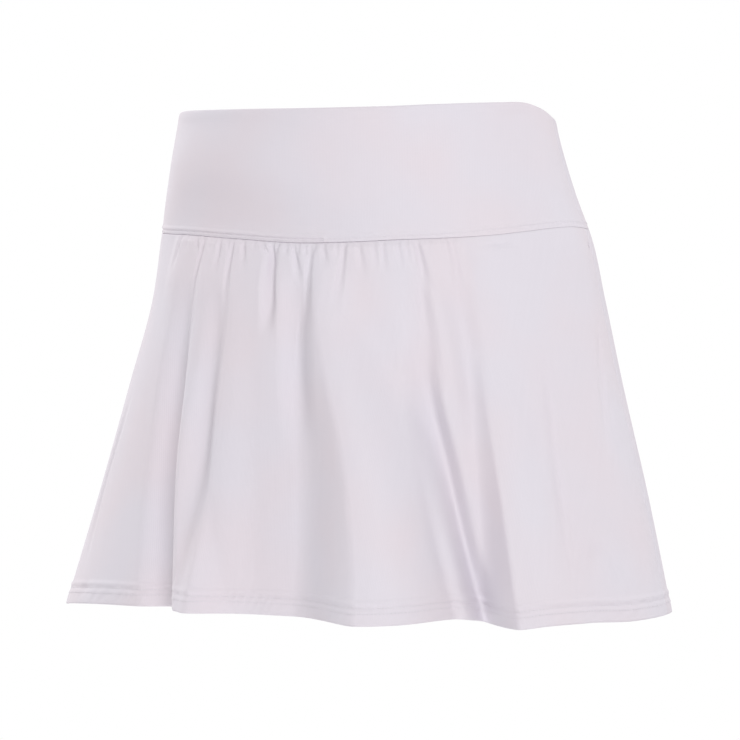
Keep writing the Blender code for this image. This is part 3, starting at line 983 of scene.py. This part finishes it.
def knit_material(name, cloth, streaks, streak_height):
    """Fine jersey: upright rows of small chevron stitches with painted shade in the ground between
    them, faint streaks, a slow drift of tone.
    """
    graph = Graph(bpy.data.materials.new(name))
    place, across, down = graph.grain()
    rib = (across / cloth.wale).math("PINGPONG", 0.5) * 2.0
    loops = ((down / cloth.course + rib * 0.5) * (2.0 * pi)).math("SINE") * 0.5 + 0.5
    stitch = rib**0.7 * (0.55 + 0.45 * loops)
    streaked = graph.node(
        "ShaderNodeCombineXYZ", None, {"X": across * STREAK_WAY[0], "Y": down * STREAK_WAY[1]}
    )
    streak = graph.noise(graph.value(streaked), 1.0, 2.0)
    drift = {"Fac": graph.noise(place, DRIFT_WAY, 1.0)}
    stops = zip(DRIFT_STOPS, (cloth.lilac, cloth.blush))
    tone = graph.node("ShaderNodeValToRGB", None, drift, stops)
    # painted shade: the colour darkens in the ground between the stitches, where the relief is
    # low; the streaks change the tone at random
    streaks_and_painted_shade = 1.0 - (1.0 - stitch) * STITCH_GAP_PAINTED_SHADE - (streak - 0.5) * streaks
    height = stitch * cloth.knit_height + (streak - 0.5) * (streak_height * cloth.knit_height)
    graph.output(graph.principled({
        "Base Color": graph.mix(1.0, graph.value(tone), streaks_and_painted_shade, "MULTIPLY"),
        "Roughness": cloth.roughness,
        "Specular IOR Level": 0.25,
        "Sheen Weight": cloth.sheen,
        "Sheen Roughness": 0.45,
        "Normal": graph.relief(height, BUMP_SHARE),
    }))
    return graph.owner


def thread_material(name, settings):
    """Twisted sewing thread, with painted shade in the grooves between its strands."""
    cloth, width = settings.cloth, settings.sewing.thread_width
    graph = Graph(bpy.data.materials.new(name))
    _, around, along = graph.grain()
    turns = (around + along * 0.9) * (2.0 * pi / (TWIST_PITCH * width))
    twist = turns.math("SINE") * 0.5 + 0.5
    # painted shade: the thread's colour darkens in the grooves between its strands, where the
    # relief is low
    strand_groove_painted_shade = [TWIST_PAINTED_SHADE * part for part in cloth.thread]
    graph.output(graph.principled({
        "Base Color": graph.mix(twist, opaque(strand_groove_painted_shade), opaque(cloth.thread)),
        "Roughness": 0.55,
        "Sheen Weight": 0.1,
        "Normal": graph.relief(twist * (TWIST_DEPTH * width), 0.6),
    }))
    return graph.owner


def floor_material():
    """Pale matt floor that clears away towards its rim."""
    graph = Graph(bpy.data.materials.new("pale_floor"))
    place = graph.value(graph.node("ShaderNodeTexCoord"), "Object")
    length = graph.node("ShaderNodeVectorMath", {"operation": "LENGTH"}, {"Vector": place})
    fade = graph.node(
        "ShaderNodeMapRange",
        {"interpolation_type": "SMOOTHSTEP"},
        {"Value": graph.value(length, "Value") / FLOOR_RADIUS, "From Min": 0.35, "From Max": 0.98},
    )
    grain = graph.noise(place, 3.0, 3.0)
    matt = graph.principled({
        "Base Color": graph.mix(grain, (0.90, 0.895, 0.90, 1.0), (0.93, 0.925, 0.93, 1.0)),
        "Roughness": 0.9,
        "Specular IOR Level": 0.1,
    })
    clear_rim = graph.node("ShaderNodeBsdfTransparent")
    graph.output(graph.node("ShaderNodeMixShader", None, {
        "Fac": graph.value(fade, "Result"),
        "Shader": graph.value(matt),
        "Shader_001": graph.value(clear_rim),
    }))
    return graph.owner


# ---------------- operators
class SKIRT_OT_waist_stitching(bpy.types.Operator):
    """Sews the line of thread over the waist seam"""

    bl_idname = "tennis_skirt.waist_stitching"
    bl_label = "Waist Stitching"

    def execute(self, context):
        settings = context.scene.tennis_skirt
        material = thread_material("waist_thread", settings)
        for half in HALVES:
            rows = [stitch_row(waist_line(settings.sewing), half, WAIST_THREAD_END, settings)]
            piece = stitches(f"waist_stitching_{half.side}", rows, settings, material)
            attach(piece, "root")
        return {"FINISHED"}


class SKIRT_OT_hem_stitching(bpy.types.Operator):
    """Sews the two lines of thread that hold the hem"""

    bl_idname = "tennis_skirt.hem_stitching"
    bl_label = "Hem Stitching"

    def execute(self, context):
        settings = context.scene.tennis_skirt
        material = thread_material("hem_thread", settings)
        for half in HALVES:
            lines = (hem_line(half, under, settings.sewing) for under in HEM_THREADS)
            rows = [stitch_row(line, half, HEM_THREAD_END, settings) for line in lines]
            piece = stitches(f"hem_stitching_{half.side}", rows, settings, material)
            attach(piece, "root")
        return {"FINISHED"}


class SKIRT_OT_waistband(bpy.types.Operator):
    """Builds the two halves of the waistband"""

    bl_idname = "tennis_skirt.waistband"
    bl_label = "Waistband"

    def execute(self, context):
        settings = context.scene.tennis_skirt
        material = knit_material("waistband_jersey", settings.cloth, 0.010, streak_height=0.2)
        for half in HALVES:
            piece = band_panel(half, settings.cloth, settings.sewing, material)
            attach(piece, "root")
            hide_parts(f"waistband_{half.side}")
        return {"FINISHED"}


class SKIRT_OT_skirt(bpy.types.Operator):
    """Builds the front and the back of the skirt"""

    bl_idname = "tennis_skirt.skirt"
    bl_label = "Skirt"

    def execute(self, context):
        settings = context.scene.tennis_skirt
        material = knit_material("skirt_jersey", settings.cloth, 0.022, streak_height=0.6)
        for half in HALVES:
            piece = skirt_panel(half, settings.cloth, settings.sewing, material)
            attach(piece, "root")
            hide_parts(f"skirt_{half.side}")
        return {"FINISHED"}


def aim(thing, place, target):
    """Puts a light or a camera in its place and turns it to look at a target."""
    thing.location = place
    thing.rotation_euler = (target - place).to_track_quat("-Z", "Y").to_euler()


def area_light(light, power, target):
    """A broad square light that looks at a target."""
    data = bpy.data.lights.new(light.name, "AREA")
    data.shape = "SQUARE"
    data.size = LIGHT_SIZE
    data.energy = power
    lamp = placed(light.name, data)
    a, e = radians(light.azimuth), radians(light.elevation)
    away = LIGHT_DISTANCE * Vector((sin(a) * cos(e), -cos(a) * cos(e), sin(e)))
    aim(lamp, target + away, target)
    lamp.visible_camera = False


class SKIRT_OT_stage(bpy.types.Operator):
    """Sets up the camera, the soft studio light and the pale floor"""

    bl_idname = "tennis_skirt.stage"
    bl_label = "Stage"

    def execute(self, context):
        scene = context.scene
        stage = scene.tennis_skirt.stage
        turned = radians(stage.azimuth)
        aside = stage.aside * Vector((cos(turned), sin(turned), 0.0))
        place = Vector((
            stage.distance * sin(turned), -stage.distance * cos(turned), stage.camera_height
        ))
        middle = Vector((0.0, 0.0, stage.aim_height))
        data = bpy.data.cameras.new("camera")
        data.lens = stage.lens
        data.sensor_width = 36.0
        data.clip_end = 100.0
        scene.camera = placed("camera", data)
        aim(scene.camera, place + aside, middle + aside)
        for light in LIGHTS:
            area_light(light, getattr(stage, f"{light.name}_power"), middle)

        mesh = bpy.data.meshes.new("floor")
        rim = [
            (FLOOR_RADIUS * cos(a), FLOOR_RADIUS * sin(a), 0.0)
            for a in np.linspace(0.0, 2.0 * pi, FLOOR_SIDES, endpoint=False)
        ]
        mesh.from_pydata(rim, [], [tuple(range(FLOOR_SIDES))])
        mesh.materials.append(floor_material())
        floor = placed("floor", mesh)
        floor.location = (0.0, 0.0, -stage.floor_drop)

        world = bpy.data.worlds.new("studio")
        scene.world = world
        graph = Graph(world)
        seen = graph.value(graph.node("ShaderNodeLightPath"), "Is Camera Ray")
        strength = stage.surround + seen * (1.0 - stage.surround)
        inputs = {"Color": opaque((1.0, 1.0, 1.0)), "Strength": strength}
        graph.output(graph.node("ShaderNodeBackground", None, inputs), "World")
        scene.view_settings.view_transform = "Standard"
        scene.view_settings.look = "None"
        return {"FINISHED"}


STEPS = (
    SKIRT_OT_waist_stitching,
    SKIRT_OT_hem_stitching,
    SKIRT_OT_waistband,
    SKIRT_OT_skirt,
    SKIRT_OT_stage,
)


class SKIRT_PT_panel(bpy.types.Panel):
    """Lists the steps and the settings of the tennis skirt"""

    bl_label = "Tennis Skirt"
    bl_idname = "SKIRT_PT_panel"
    bl_space_type = "VIEW_3D"
    bl_region_type = "UI"
    bl_category = "Tennis Skirt"

    def draw(self, context):
        settings = context.scene.tennis_skirt
        for group in (settings.cloth, settings.sewing, settings.stage):
            box = self.layout.box()
            for name in group.__annotations__:
                box.prop(group, name)
        for step in STEPS:
            self.layout.operator(step.bl_idname)


CLASSES = (ClothSettings, SewingSettings, StageSettings, SkirtSettings, *STEPS, SKIRT_PT_panel)


def register():
    for item in CLASSES:
        bpy.utils.register_class(item)
    bpy.types.Scene.tennis_skirt = PointerProperty(type=SkirtSettings)


def unregister():
    del bpy.types.Scene.tennis_skirt
    for item in reversed(CLASSES):
        bpy.utils.unregister_class(item)


def main():
    register()
    bpy.ops.tennis_skirt.waist_stitching()
    bpy.ops.tennis_skirt.hem_stitching()
    bpy.ops.tennis_skirt.waistband()
    bpy.ops.tennis_skirt.skirt()
    bpy.ops.tennis_skirt.stage()


if __name__ == "__main__":
    main()
